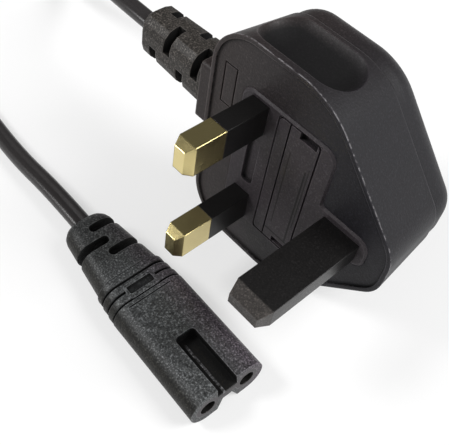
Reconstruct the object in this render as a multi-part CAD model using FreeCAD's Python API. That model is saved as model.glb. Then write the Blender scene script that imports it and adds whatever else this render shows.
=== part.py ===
import FreeCAD, Part
import math
import os
from FreeCAD import Vector

# Two-pole figure eight connector on a moulded mains lead, with a three-pin
# fused plug at the lead's far end. Millimetres. +X is the way the connector's
# mouth looks, +Z is up, and the origin is under the middle of the connector.

# Connector, front body
body_width = 15.9          # across both lobes
body_height = 7.3          # diameter of a lobe
body_length = 23.7         # mouth to the grip ribs
contact_pitch = 8.6        # between the two contacts
entry_diameter = 3.1       # pin holes in the mouth

# Key groove along the top and the plainer one underneath
groove_width = 4.2
groove_depth = 2.25
groove_length = 12.5
groove_end_radius = 0.9
keel_width = 4.2
keel_top_width = 2.0
keel_depth = 2.85

# Grip ribs between the body and the boot
rib_count = 3
rib_pitch = 2.15
rib_gap = 0.4             # open groove between two ribs
rib_groove_depth = 0.6
rib_rounding = 0.32
panel_length = 3.4         # raised panel that interrupts two ribs
panel_width = 6.6
panel_recess = 0.4
panel_border = 0.6
front_line_offset = 0.75   # fine line in the body ahead of the ribs
front_line_width = 0.3
front_line_depth = 0.2
front_line_half_length = 4.6

# Connector strain relief boot
boot_length = 16.85
boot_front_width = 14.0
boot_rear_width = 10.0
boot_front_height = 7.0
boot_rear_height = 6.3
boot_slot_width = 2.0
boot_core_width = 5.0      # uncut middle of the boot
boot_core_height = 3.1
boot_end_rounding = 2.4

# Contact block and its two contacts
block_lobe_diameter = 4.8
block_length = 14.5
block_web_thickness = 1.1
contact_bore = 2.4         # takes a pin of 2.36
contact_wall = 0.45
contact_length = 12.0
contact_heel = 1.0         # closed end between the bore and the crimp
contact_setback = 1.5      # mouth to the contact's lip
contact_slit = 0.6
contact_seat_clearance = 0.03
crimp_length = 4.5
crimp_wall = 0.35
core_bend_reach = 1.2      # crimp mouth to the core's first bend

# Lead: two cores side by side in one sheath
core_diameter = 1.9
core_spacing = 2.0
cord_diameter = 3.3

# Plug body, drawn with its earth end along +X, its pins along +Z and its
# face in the plane Z = 0, then laid down beside the connector
plug_half_width = 24.0
plug_cord_edge = 12.3      # from the line of the two blades
plug_earth_edge = 32.5
plug_slant_start = 12.8    # where the sides turn towards the earth end
plug_tip_half_width = 4.6
plug_rim_depth = 14.6      # face to the back rim
plug_rim_inset = 1.4       # the back rim is this much narrower than the face
plug_back_inset = 0.4      # the domed back stands inside the rim
plug_thickness = 22.5
plug_corner_radius = 9.0
plug_tip_corner_share = 0.8    # radius at the earth end as a share of that
plug_bend_radius = 16.0    # where the sides turn
face_lip = 0.8             # narrow border round the sunk face
face_recess = 0.4
plug_back_rounding = 5.6
grip_radius = 7.4          # finger scoop in each flank
grip_depth = 3.1
grip_centre_depth = 8.0
grip_start = -2.8          # middles of its two round ends, from the line of the blades
grip_end = 7.5

# Plug collar and strain relief
collar_length = 7.2
collar_width = 14.0
collar_height = 11.5
collar_rounding = 1.0
cord_exit_depth = 10.7     # face to the lead's axis
relief_length = 19.8
relief_front_width = 11.4
relief_rear_width = 10.2
relief_front_height = 10.4
relief_rear_height = 9.2
relief_corner_radius = 3.4
relief_end_chamfer = 0.9
relief_slot_width = 2.1
relief_slot_places = 0.17, 0.39, 0.61, 0.83    # shares of its length, from the lead's end
relief_web = 1.2           # left between a slot and the next quarter
relief_core_diameter = 5.2

# Pins
blade_pitch = 22.23        # live to neutral, and to the earth pin
blade_width = 6.35
blade_thickness = 3.97
blade_reach = 17.7
blade_sleeve_reach = 9.5
blade_chamfer_length = 1.7
blade_chamfer = 0.8
sleeve_wall = 0.6
blade_root_depth = 7.0
earth_width = 3.97
earth_length = 7.93
earth_reach = 22.73
earth_chamfer_length = 2.6
earth_chamfer = 0.9
earth_flange = 0.8

# Insert plate in the plug's face
plate_thickness = 3.0
plate_half_width = 15.2
plate_cord_edge = 4.4
plate_fuse_edge = 17.0
plate_neck_half_width = 3.4
plate_neck_end = 28.0
plate_corner_radius = 2.6
plate_chamfer = 0.35
finger_pocket_length = 2.8
finger_pocket_half_width = 5.5
finger_pocket_depth = 0.8

# Bare frame sunk in the face near the cord end
frame_start = -9.5
frame_end = -6.3
frame_inner_side = 7.3
frame_outer_side = 16.2
frame_line = 0.3
frame_depth = 0.18

# Fuse and its pull-out carrier
fuse_length = 25.4
fuse_diameter = 6.35
fuse_barrel_diameter = 5.8
fuse_cap_length = 6.2
fuse_cap_wall = 0.25
fuse_axis = 9.0            # from the line of the two blades
fuse_end_clearance = 0.25
carrier_width = 8.8
carrier_half_length = 14.3
carrier_top = 1.4
carrier_clearance = 0.15
carrier_chamfer = 0.25     # on the plate's edge round the carrier
carrier_line_offset = 2.2
carrier_line_width = 0.35
carrier_line_depth = 0.35
carrier_cheek_half_length = 5.6
carrier_cheek_depth = 6.2
lever_notch_length = 3.8
lever_notch_width = 1.3
lever_notch_depth = 1.1
clip_wall = 0.45
clip_clearance = 0.15
clip_width = 4.4
clip_offset = 9.7          # middle of a clip from the middle of the fuse
strap_thickness = 0.6
strap_width = 2.7

# Where the plug lies and how its cord end is held up
plug_place_x = -1.9
plug_place_y = 25.3
plug_yaw = 3.6             # degrees
plug_cord_lift = 4.6       # degrees

# Coil of the length that isn't laid out, and its tie
coil_centre = Vector(-146.0, 21.0, 0.95)    # middle of its underside, on the tie
coil_mean_diameter = 47.4
coil_width = 9.4
coil_height = 17.6
coil_rounding = 1.1
coil_lead_angle_connector = -85.0
coil_lead_angle_plug = 80.0
coil_lead_heights = 2.2, 6.6   # underside to the axis of each lead where it joins the coil
coil_lead_run = 26.0       # straight way in along the tangent
coil_lead_inset = 1.8      # outer surface of the coil to a lead's axis
tie_angle = 205.0
tie_width = 5.0
tie_thickness = 0.7
tie_clearance = 0.2

# Worked out from the sizes above
mouth_x = (body_length + rib_count * rib_pitch + boot_length) / 2
ribs_x = mouth_x - body_length
boot_x = ribs_x - rib_count * rib_pitch
tail_x = boot_x - boot_length
axis_z = body_height / 2
contact_y = contact_pitch / 2
contact_radius = contact_bore / 2 + contact_wall
crimp_radius = core_diameter / 2 + crimp_wall
plug_lean = math.degrees(math.atan(plug_rim_inset / plug_rim_depth))
fuse_z = -(carrier_top + clip_clearance + fuse_diameter / 2)
blade_y = blade_pitch / 2
relief_tail = -(plug_cord_edge + collar_length + relief_length)
coil_outer_radius = (coil_mean_diameter + coil_width) / 2


def box(x0, x1, y0, y1, z0, z1):
    return Part.makeBox(x1 - x0, y1 - y0, z1 - z0, Vector(x0, y0, z0))


def rod(radius, start, end):
    axis = end - start
    return Part.makeCylinder(radius, axis.Length, start, axis)


def oval_wire(x, width, height, z=None):
    """Outline of a long oval across X: two half circles and two flats."""
    z = axis_z if z is None else z
    r = height / 2
    y = width / 2 - r
    lo, hi = z - r, z + r
    right = Part.Arc(Vector(x, y, lo), Vector(x, y + r, z), Vector(x, y, hi))
    left = Part.Arc(Vector(x, -y, hi), Vector(x, -y - r, z), Vector(x, -y, lo))
    return Part.Wire([
        right.toShape(),
        Part.makeLine(Vector(x, y, hi), Vector(x, -y, hi)),
        left.toShape(),
        Part.makeLine(Vector(x, -y, lo), Vector(x, y, lo)),
    ])


def oval_bar(x0, x1, width, height, z=None):
    face = Part.Face(oval_wire(x0, width, height, z))
    return face.extrude(Vector(x1 - x0, 0, 0))


def rounded_wire(corners, z):
    """Closed outline at height z through corners (x, y, radius)."""
    edges = []
    ends = []
    n = len(corners)
    for i in range(n):
        x, y, r = corners[i]
        here = Vector(x, y, z)
        back = Vector(corners[i - 1][0], corners[i - 1][1], z) - here
        ahead = Vector(corners[(i + 1) % n][0], corners[(i + 1) % n][1], z) - here
        back.normalize()
        ahead.normalize()
        half = back.getAngle(ahead) / 2
        reach = r / math.tan(half)
        middle = back + ahead
        middle.normalize()
        centre = here + middle * (r / math.sin(half))
        first = here + back * reach
        last = here + ahead * reach
        edges.append(Part.Arc(first, centre - middle * r, last).toShape())
        ends.append((first, last))
    outline = []
    for i in range(n):
        outline.append(edges[i])
        outline.append(Part.makeLine(ends[i][1], ends[(i + 1) % n][0]))
    return Part.Wire(outline)


def rounded_slab(corners, z0, z1):
    face = Part.Face(rounded_wire(corners, z0))
    return face.extrude(Vector(0, 0, z1 - z0))


def rounded_box(x0, x1, y0, y1, z0, z1, radius):
    corners = [(x0, y0, radius), (x1, y0, radius), (x1, y1, radius), (x0, y1, radius)]
    return rounded_slab(corners, z0, z1)


def route_wire(points, name=None):
    """Straight runs joined by tangent arcs, each as large as its runs allow."""
    edges = []
    start = points[0]
    radii = []
    for i in range(1, len(points) - 1):
        here = points[i]
        back = points[i - 1] - here
        ahead = points[i + 1] - here
        shorter = min(back.Length, ahead.Length)
        back.normalize()
        ahead.normalize()
        half_turn = (math.pi - back.getAngle(ahead)) / 2
        reach = 0.45 * shorter
        radius = reach / math.tan(half_turn)
        radii.append(radius)
        middle = back + ahead
        middle.normalize()
        centre = here + middle * (radius / math.cos(half_turn))
        first = here + back * reach
        last = here + ahead * reach
        edges.append(Part.LineSegment(start, first).toShape())
        edges.append(Part.Arc(first, centre - middle * radius, last).toShape())
        start = last
    edges.append(Part.LineSegment(start, points[-1]).toShape())
    if name:
        print(name, "radii", [round(r, 1) for r in radii])
    return Part.Wire(edges)


def tube(points, diameter, name=None):
    wire = route_wire(points, name)
    ahead = points[1] - points[0]
    ring = Part.Wire(Part.makeCircle(diameter / 2, points[0], ahead))
    solid = wire.makePipe(Part.Face(ring))
    if name:
        ideal = math.pi * diameter ** 2 / 4 * wire.Length
        print(name, "length", round(wire.Length, 1), "volume", round(solid.Volume / ideal, 4))
    return solid


def core_run(points, diameter):
    """A core inside a moulding: straight runs with a round corner at each bend."""
    run = rod(diameter / 2, points[0], points[1])
    for i in range(1, len(points) - 1):
        run = run.fuse([Part.makeSphere(diameter / 2, points[i]),
                        rod(diameter / 2, points[i], points[i + 1])])
    return run.removeSplitter()


def crimp_barrel(start, end, open_length):
    """Tube closed at its far end, that holds a core from the start."""
    axis = end - start
    axis.normalize()
    barrel = rod(crimp_radius, start, end)
    return barrel.cut(rod(core_diameter / 2, start, start + axis * open_length))


# Connector

def connector_core_points(side):
    y = side * contact_y
    inner = side * core_spacing / 2
    crimp_end = mouth_x - contact_setback - contact_length - contact_heel
    return [
        Vector(crimp_end - 0.6, y, axis_z),
        Vector(crimp_end - crimp_length - core_bend_reach, y, axis_z),
        Vector(boot_x + 1.0, inner, axis_z),
        Vector(tail_x, inner, axis_z),
    ]


def connector_core(side):
    return core_run(connector_core_points(side), core_diameter)


def socket_contact(side):
    y = side * contact_y
    lip = mouth_x - contact_setback
    back = lip - contact_length
    heel = back - contact_heel
    barrel = rod(contact_radius, Vector(heel, y, axis_z), Vector(lip, y, axis_z))
    bore = rod(contact_bore / 2, Vector(back, y, axis_z), Vector(lip, y, axis_z))
    slit_y = (y, y - side * 2 * contact_radius)
    slit = box(back + 1.5, lip, min(slit_y), max(slit_y),
               axis_z - contact_slit / 2, axis_z + contact_slit / 2)
    crimp = crimp_barrel(Vector(heel - crimp_length, y, axis_z),
                         Vector(heel + 0.1, y, axis_z), crimp_length - 0.5)
    return barrel.cut(bore).cut(slit).fuse(crimp).removeSplitter()


def contact_block():
    back = mouth_x - block_length
    lip = mouth_x - contact_setback
    block = oval_bar(back, mouth_x, contact_pitch, block_web_thickness, axis_z + 0.3)
    seats = []
    for side in (-1, 1):
        y = side * contact_y
        lobe = rod(block_lobe_diameter / 2, Vector(back, y, axis_z), Vector(mouth_x, y, axis_z))
        block = block.fuse(lobe)
        seats.append(rod(contact_radius + contact_seat_clearance,
                         Vector(back, y, axis_z), Vector(lip, y, axis_z)))
        seats.append(rod(entry_diameter / 2, Vector(lip, y, axis_z), Vector(mouth_x, y, axis_z)))
    return block.cut(Part.makeCompound(seats)).removeSplitter()


def key_groove():
    top = body_height
    groove = rounded_box(mouth_x - groove_length, mouth_x + 4, -groove_width / 2, groove_width / 2,
                         top - groove_depth, top + 1, groove_end_radius)
    return groove


def keel_groove():
    wire = Part.makePolygon([
        Vector(mouth_x + 1, -keel_width / 2 - 0.3, -0.3),
        Vector(mouth_x + 1, -keel_top_width / 2, keel_depth),
        Vector(mouth_x + 1, keel_top_width / 2, keel_depth),
        Vector(mouth_x + 1, keel_width / 2 + 0.3, -0.3),
        Vector(mouth_x + 1, -keel_width / 2 - 0.3, -0.3),
    ])
    return Part.Face(wire).extrude(Vector(-groove_length - 1, 0, 0))


def rib_width(index):
    """The ribs step down from the body's width to the boot's."""
    share = (index + 0.5) / rib_count
    return body_width + (boot_front_width - body_width) * share * 0.7


def rounded_oval(x0, x1, width, height, rounding, steps=3):
    """Oval disc whose two rims are rounded over in short flats."""
    sections = []
    for i in range(steps + 1):
        turn = math.radians(90 * i / steps)
        sections.append((x0 + rounding * (1 - math.cos(turn)), rounding * (1 - math.sin(turn))))
    mirrored = [(x0 + x1 - x, inset) for x, inset in reversed(sections)]
    wires = [oval_wire(x, width - 2 * inset, height - 2 * inset)
             for x, inset in sections + mirrored]
    return Part.makeLoft(wires, True, True)


def grip_ribs():
    narrow = min(body_width, boot_front_width) - 2 * rib_groove_depth
    low = min(body_height, boot_front_height) - 2 * rib_groove_depth
    ribs = oval_bar(boot_x - 0.5, ribs_x + 0.5, narrow, low)
    rounding = min(rib_rounding, 0.45 * (rib_pitch - rib_gap))
    for i in range(rib_count):
        front = ribs_x - i * rib_pitch - rib_gap
        rib = rounded_oval(front - rib_pitch + rib_gap, front, rib_width(i),
                           body_height - 0.1 * i, rounding)
        ribs = ribs.fuse(rib)
    return ribs


def grip_panel():
    """Raised panel with a shallow window on top of the two front ribs."""
    front = ribs_x - 0.25
    back = front - panel_length
    half = panel_width / 2
    panel = rounded_box(back, front, -half, half, axis_z, body_height + 0.05, 0.6)
    window = rounded_box(back + panel_border, front - panel_border - 0.4,
                         -half + panel_border, half - panel_border,
                         body_height + 0.05 - panel_recess, body_height + 1, 0.4)
    return panel, window


def front_line():
    x = ribs_x + front_line_offset
    half = front_line_half_length
    return box(x, x + front_line_width, -half, half, body_height - front_line_depth, body_height + 1)


def boot_solid(steps=4):
    """Tapered boot whose rear end is rounded over."""
    wires = []
    for i in range(steps + 1):
        turn = math.radians(90 * i / steps)
        share = boot_end_rounding * (1 - math.cos(turn)) / boot_length
        inset = boot_end_rounding * (1 - math.sin(turn))
        width = boot_rear_width + (boot_front_width - boot_rear_width) * share
        height = boot_rear_height + (boot_front_height - boot_rear_height) * share
        wires.append(oval_wire(tail_x + share * boot_length, width - 2 * inset, height - 1.3 * inset))
    wires.append(oval_wire(boot_x, boot_front_width, boot_front_height))
    return Part.makeLoft(wires, True, True)


def boot_slots():
    """Slots that cut the boot's skin from alternate sides round its core."""
    half = boot_front_width
    core = oval_bar(tail_x - 1, boot_x + 1, boot_core_width, boot_core_height)
    places = ((0.19, 1, -0.65), (0.42, -1, -1.3), (0.62, 1, -0.65))
    slots = []
    for share, side, reach in places:
        x = tail_x + share * boot_length
        ys = (side * reach, side * half)
        slot = rounded_box(x, x + boot_slot_width, min(ys), max(ys),
                           -1, body_height + 1, 0.95 * boot_slot_width / 2)
        slots.append(slot.cut(core))
    return Part.makeCompound(slots)


def contact_room(side):
    """Space that one contact, its crimp and its entry hole take up in the moulding."""
    lip = mouth_x - contact_setback
    heel = lip - contact_length - contact_heel
    places = ((heel - crimp_length, heel, crimp_radius),
              (heel, lip, contact_radius + contact_seat_clearance),
              (lip, mouth_x, entry_diameter / 2))
    y = side * contact_y
    rods = [rod(r, Vector(x0, y, axis_z), Vector(x1, y, axis_z)) for x0, x1, r in places]
    return rods[0].fuse(rods[1:])


def connector_shell(inner):
    body = oval_bar(ribs_x, mouth_x, body_width, body_height)
    panel, window = grip_panel()
    shell = body.fuse([grip_ribs(), panel, boot_solid()])
    shell = shell.cut([window, front_line()])
    shell = shell.cut(Part.makeCompound([key_groove(), keel_groove()]))
    shell = shell.cut(boot_slots())
    for piece in inner:
        shell = shell.cut(piece)
    for side in (-1, 1):
        shell = shell.cut(contact_room(side))
    return largest_solid(shell.removeSplitter())


def largest_solid(shape):
    return max(shape.Solids, key=lambda s: s.Volume)


# Plug, in its own frame

def plug_corners(inset):
    w = plug_half_width - inset
    slant = math.tan(math.radians(22.5)) * inset
    r = max(plug_corner_radius - inset, 1.0)
    bend = plug_bend_radius - inset
    tip = plug_tip_half_width - slant
    return [
        (-plug_cord_edge + inset, -w, r),
        (plug_slant_start - slant, -w, bend),
        (plug_earth_edge - inset, -tip, plug_tip_corner_share * r),
        (plug_earth_edge - inset, tip, plug_tip_corner_share * r),
        (plug_slant_start - slant, w, bend),
        (-plug_cord_edge + inset, w, r),
    ]


def plug_body():
    front = Part.makeLoft([rounded_wire(plug_corners(0), 0),
                           rounded_wire(plug_corners(plug_rim_inset), -plug_rim_depth)], True, True)
    inset = plug_rim_inset + plug_back_inset
    back = rounded_slab(plug_corners(inset), -plug_thickness, -plug_rim_depth + 1)
    edges = [e for e in back.Edges if e.BoundBox.ZMax < -plug_thickness + 0.01]
    back = back.makeFillet(plug_back_rounding, edges)
    return front.fuse(back)


def finger_grips():
    """A long round-ended scoop in each flank."""
    off = grip_radius - grip_depth
    z = -grip_centre_depth
    scoops = []
    for side in (-1, 1):
        y = side * (plug_half_width - 0.5 * plug_rim_inset + off)
        start, end = Vector(grip_start, y, z), Vector(grip_end, y, z)
        scoop = Part.makeSphere(grip_radius, start)
        scoops.append(scoop.fuse([rod(grip_radius, start, end), Part.makeSphere(grip_radius, end)]))
    return scoops


def block_wire(x, width, height, radius, z, steps=3):
    """Outline of a block across X, each corner rounded in short flats."""
    points = []
    for turn, y, h in ((0, 1, 1), (90, -1, 1), (180, -1, -1), (270, 1, -1)):
        for i in range(steps + 1):
            angle = math.radians(turn + 90 * i / steps)
            points.append(Vector(x, y * (width / 2 - radius) + radius * math.cos(angle),
                                 z + h * (height / 2 - radius) + radius * math.sin(angle)))
    return Part.makePolygon(points + points[:1])


def relief_body():
    """Block that narrows towards the lead."""
    z = -cord_exit_depth
    front = -plug_cord_edge - collar_length + 0.5
    c = relief_end_chamfer
    r = relief_corner_radius
    return Part.makeLoft([
        block_wire(front, relief_front_width, relief_front_height, r, z),
        block_wire(relief_tail + c, relief_rear_width, relief_rear_height, r, z),
        block_wire(relief_tail, relief_rear_width - 2 * c, relief_rear_height - 2 * c, r - c, z),
    ], True, True)


def plug_collar():
    half = collar_width / 2
    z = -cord_exit_depth
    rise = collar_height / 2
    collar = box(-plug_cord_edge - collar_length, -plug_cord_edge + 2, -half, half, z - rise, z + rise)
    edges = [e for e in collar.Edges
             if abs(e.BoundBox.XMax - e.BoundBox.XMin) > 1]
    return collar.makeFillet(collar_rounding, edges).fuse(relief_body())


def relief_slots():
    """Slots in opposite quarters of the strain relief, and at the next place in the other two."""
    z = -cord_exit_depth
    far = relief_front_width
    core = rod(relief_core_diameter / 2, Vector(relief_tail - 1, 0, z),
               Vector(-plug_cord_edge, 0, z))
    w = relief_slot_width
    web = relief_web / 2
    slots = []
    for share, turn in zip(relief_slot_places, (-1, 1, -1, 1)):
        x = relief_tail + share * relief_length
        for side in (-1, 1):
            ys = (side * web, side * far)
            zs = (z + side * turn * web, z + side * turn * far)
            slots.append(box(x, x + w, min(ys), max(ys), min(zs), max(zs)).cut(core))
    return Part.makeCompound(slots)


def plate_corners(grow):
    r = plate_corner_radius
    return [
        (-plate_cord_edge - grow, -plate_half_width - grow, r),
        (plate_fuse_edge + grow, -plate_half_width - grow, r),
        (plate_fuse_edge + grow, -plate_neck_half_width - grow, 0.8),
        (plate_neck_end + grow, -plate_neck_half_width - grow, r),
        (plate_neck_end + grow, plate_neck_half_width + grow, r),
        (plate_fuse_edge + grow, plate_neck_half_width + grow, 0.8),
        (plate_fuse_edge + grow, plate_half_width + grow, r),
        (-plate_cord_edge - grow, plate_half_width + grow, r),
    ]


def blade_section(z0, z1, side, inset=0.0):
    x = blade_thickness / 2 - inset
    y = blade_width / 2 - inset
    mid = side * blade_y
    return box(-x, x, mid - y, mid + y, z0, z1)


def tapered_tip(x0, x1, y0, y1, z0, z1, inset):
    def outline(x0, x1, y0, y1, z):
        return Part.makePolygon([Vector(x0, y0, z), Vector(x1, y0, z), Vector(x1, y1, z),
                                 Vector(x0, y1, z), Vector(x0, y0, z)])
    return Part.makeLoft([outline(x0, x1, y0, y1, z0),
                          outline(x0 + inset, x1 - inset, y0 + inset, y1 - inset, z1)], True, True)


def blade(side):
    """Brass blade with a waist for its sleeve and a root behind the plate."""
    x = blade_thickness / 2
    y0 = side * blade_y - blade_width / 2
    y1 = side * blade_y + blade_width / 2
    shoulder = blade_reach - blade_chamfer_length
    pieces = [
        tapered_tip(-x, x, y0, y1, shoulder, blade_reach, blade_chamfer),
        blade_section(blade_sleeve_reach, shoulder, side),
        blade_section(-plate_thickness, blade_sleeve_reach, side, sleeve_wall),
        blade_section(-blade_root_depth, -plate_thickness, side),
    ]
    return pieces[0].fuse(pieces[1:]).removeSplitter()


def blade_sleeve(side):
    sleeve = blade_section(-plate_thickness, blade_sleeve_reach, side)
    return sleeve.cut(blade_section(-plate_thickness, blade_sleeve_reach, side, sleeve_wall))


def neutral_blade():
    y = -blade_y
    z = -blade_root_depth + crimp_radius
    x = -blade_thickness / 2
    crimp = crimp_barrel(Vector(x - crimp_length, y, z), Vector(x + 0.1, y, z), crimp_length - 0.5)
    return blade(-1).fuse(crimp).removeSplitter()


def earth_pin():
    x0 = blade_pitch - earth_length / 2
    x1 = blade_pitch + earth_length / 2
    y = earth_width / 2
    shoulder = earth_reach - earth_chamfer_length
    shank = box(x0, x1, -y, y, -plate_thickness - 1.6, shoulder)
    tip = tapered_tip(x0, x1, -y, y, shoulder, earth_reach, earth_chamfer)
    f = earth_flange
    flange = box(x0 - f, x1 + f, -y - f, y + f, -plate_thickness - 1.6, -plate_thickness)
    return shank.fuse([tip, flange]).removeSplitter()


def carrier_outline(grow):
    half = carrier_width / 2 + grow
    end = carrier_half_length + grow
    return fuse_axis - half, fuse_axis + half, -end, end


def plug_bridge():
    """Hard insert plate in the face, with the blades, the earth pin and the fuse in it."""
    plate = rounded_slab(plate_corners(0), -plate_thickness, -plate_chamfer)
    plate = plate.fuse(Part.makeLoft([rounded_wire(plate_corners(0), -plate_chamfer),
                                      rounded_wire(plate_corners(-plate_chamfer), 0)], True, True))
    cuts = [blade_section(-plate_thickness, 1, side) for side in (-1, 1)]
    x0 = blade_pitch - earth_length / 2
    cuts.append(box(x0, x0 + earth_length, -earth_width / 2, earth_width / 2, -plate_thickness, 1))
    a0, a1, b0, b1 = carrier_outline(carrier_clearance)
    cuts.append(rounded_box(a0, a1, b0, b1, -plate_thickness, 1, 0.8))
    c = carrier_chamfer
    cuts.append(rounded_box(a0 - c, a1 + c, b0 - c, b1 + c, -c, 1, 0.8))
    cuts.append(rounded_box(0.4 - finger_pocket_length / 2, 0.4 + finger_pocket_length / 2,
                            -finger_pocket_half_width, finger_pocket_half_width,
                            -finger_pocket_depth, 1, 1.0))
    return plate.cut(Part.makeCompound(cuts))


def fuse_carrier():
    a0, a1, b0, b1 = carrier_outline(0)
    top = rounded_box(a0, a1, b0, b1, -carrier_top, 0, 0.8)
    cheek = carrier_cheek_half_length
    cheeks = box(a0, a1, -cheek, cheek, -carrier_cheek_depth, -carrier_top)
    seat = fuse_barrel_diameter / 2 + 0.05
    cheeks = cheeks.cut(rod(seat, Vector(fuse_axis, -cheek, fuse_z), Vector(fuse_axis, cheek, fuse_z)))
    cheeks = cheeks.cut(box(fuse_axis - seat, fuse_axis + seat, -cheek, cheek,
                            -carrier_cheek_depth, fuse_z))
    carrier = top.fuse(cheeks)
    notches = []
    for side in (-1, 1):
        y = side * (carrier_half_length - lever_notch_width / 2)
        notches.append(box(fuse_axis + 0.2, fuse_axis + 0.2 + lever_notch_length,
                           y - lever_notch_width / 2, y + lever_notch_width / 2,
                           -lever_notch_depth, 1))
    line = a0 + carrier_line_offset
    notches.append(box(line, line + carrier_line_width, b0 - 1, b1 + 1, -carrier_line_depth, 1))
    return largest_solid(carrier.cut(Part.makeCompound(notches)).removeSplitter())


def fuse_cap(side):
    end = side * fuse_length / 2
    inner = side * (fuse_length / 2 - fuse_cap_length)
    cap = rod(fuse_diameter / 2, Vector(fuse_axis, inner, fuse_z), Vector(fuse_axis, end, fuse_z))
    floor = side * (fuse_length / 2 - fuse_cap_wall)
    hollow = rod(fuse_barrel_diameter / 2, Vector(fuse_axis, inner, fuse_z),
                 Vector(fuse_axis, floor, fuse_z))
    return cap.cut(hollow)


def fuse_barrel():
    end = fuse_length / 2 - fuse_cap_wall
    return rod(fuse_barrel_diameter / 2, Vector(fuse_axis, -end, fuse_z), Vector(fuse_axis, end, fuse_z))


def clip_channel(radius, side, top):
    """U-shaped bar round the fuse, open towards the face."""
    y0 = side * clip_offset - clip_width / 2
    y1 = y0 + clip_width
    round_part = rod(radius, Vector(fuse_axis, y0, fuse_z), Vector(fuse_axis, y1, fuse_z))
    return round_part.fuse(box(fuse_axis - radius, fuse_axis + radius, y0, y1, fuse_z, top))


def fuse_clip(side):
    inner = fuse_diameter / 2 + clip_clearance
    outer = inner + clip_wall
    top = -carrier_top - 0.35
    return clip_channel(outer, side, top).cut(clip_channel(inner, side, top + 1))


def live_clip():
    """Clip with a strap to the root of the live blade."""
    x1 = fuse_axis - fuse_diameter / 2 - clip_clearance - clip_wall / 2
    y = clip_offset
    strap = box(blade_thickness / 2, x1, y - strap_width / 2, y + strap_width / 2,
                fuse_z - strap_thickness, fuse_z)
    return fuse_clip(1).fuse(strap).removeSplitter()


def load_crimp_z():
    return fuse_z - fuse_diameter / 2 - clip_clearance - clip_wall - crimp_radius + 0.25


def load_clip():
    """Clip with a crimp under it for the live core."""
    y = -clip_offset
    z = load_crimp_z()
    crimp = crimp_barrel(Vector(fuse_axis - crimp_length / 2, y, z),
                         Vector(fuse_axis + crimp_length / 2, y, z), crimp_length - 0.6)
    return fuse_clip(-1).fuse(crimp).removeSplitter()


def plug_core_points(which):
    z = -cord_exit_depth
    y = core_spacing / 2
    if which == "live":
        crimp_z = load_crimp_z()
        return [
            Vector(relief_tail, y, z),
            Vector(-plug_cord_edge, y, z),
            Vector(-4.0, -4.2, z - 2.2),
            Vector(1.5, -clip_offset, crimp_z),
            Vector(fuse_axis + crimp_length / 2 - 0.6, -clip_offset, crimp_z),
        ]
    crimp_z = -blade_root_depth + crimp_radius
    return [
        Vector(relief_tail, -y, z),
        Vector(-plug_cord_edge - 2.0, -y, z),
        Vector(-blade_thickness / 2 - crimp_length - core_bend_reach, -blade_y, crimp_z),
        Vector(-blade_thickness / 2 - 0.5, -blade_y, crimp_z),
    ]


def face_frame():
    low = -face_recess - frame_depth
    t = frame_line
    outer = box(frame_start, frame_end, frame_inner_side, frame_outer_side, low, 1)
    return outer.cut(box(frame_start + t, frame_end - t, frame_inner_side + t, frame_outer_side - t,
                         low - 1, 2))


def plug_shell(inner):
    shell = plug_body().fuse(plug_collar())
    shell = shell.cut(rounded_slab(plug_corners(face_lip), -face_recess, 1))
    shell = shell.cut(face_frame())
    for scoop in finger_grips():
        shell = shell.cut(scoop)
    shell = shell.cut(relief_slots())
    shell = shell.cut(rounded_slab(plate_corners(0), -plate_thickness, 1))
    a0, a1 = carrier_outline(carrier_clearance)[:2]
    end = fuse_length / 2 + fuse_end_clearance
    floor = fuse_z - fuse_diameter / 2 - clip_clearance - clip_wall
    shell = shell.cut(box(a0, a1, -end, end, floor, 1))
    for piece in inner:
        shell = shell.cut(piece)
    return largest_solid(shell.removeSplitter())


# Where the plug lies

def plug_rotation():
    lay = FreeCAD.Rotation(Vector(1, 0, 0), 90)
    lean = FreeCAD.Rotation(Vector(1, 0, 0), -plug_lean)
    lift = FreeCAD.Rotation(Vector(0, 1, 0), plug_cord_lift)
    yaw = FreeCAD.Rotation(Vector(0, 0, 1), plug_yaw)
    return yaw.multiply(lift).multiply(lay).multiply(lean)


def plug_placement(shell):
    turn = plug_rotation()
    low = min(turn.multVec(point).z for point in shell.tessellate(0.02)[0])
    return FreeCAD.Placement(Vector(plug_place_x, plug_place_y, -low), turn)


# Lead

def coil_joints():
    """For each lead: the point where it joins the coil, out from the coil, and back along it."""
    joints = []
    for angle, height, sense in ((coil_lead_angle_connector, coil_lead_heights[0], 1),
                                 (coil_lead_angle_plug, coil_lead_heights[1], -1)):
        t = math.radians(angle)
        out = Vector(math.cos(t), math.sin(t), 0)
        point = coil_centre + out * (coil_outer_radius - coil_lead_inset) + Vector(0, 0, height)
        joints.append((point, out, Vector(-out.y, out.x, 0) * sense))
    return joints


def coil_notch(point, out, way):
    """Step in the coil's side that a lead's end lies in."""
    half = cord_diameter / 2 + 0.1
    notch = box(0, coil_outer_radius, -half, coil_width, -half, half)
    frame = FreeCAD.Matrix(way.x, out.x, 0, point.x,
                           way.y, out.y, 0, point.y,
                           0, 0, 1, point.z,
                           0, 0, 0, 1)
    return notch.transformGeometry(frame)


def coil_section(radius, grow):
    """Outline of the wound bundle, eight flats, in the plane Y = 0."""
    half = coil_width / 2 + grow
    cut = coil_rounding + 0.4 * grow
    low, high = -grow, coil_height + grow
    points = [(radius - half, low + cut), (radius - half + cut, low),
              (radius + half - cut, low), (radius + half, low + cut),
              (radius + half, high - cut), (radius + half - cut, high),
              (radius - half + cut, high), (radius - half, high - cut)]
    return Part.makePolygon([Vector(x, 0, z) for x, z in points + points[:1]])


def cord_coil():
    ring = Part.Face(coil_section(coil_mean_diameter / 2, 0)).revolve(Vector(0, 0, 0), Vector(0, 0, 1), 360)
    ring.translate(coil_centre)
    for joint in coil_joints():
        ring = ring.cut(coil_notch(*joint))
    return largest_solid(ring)


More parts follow.
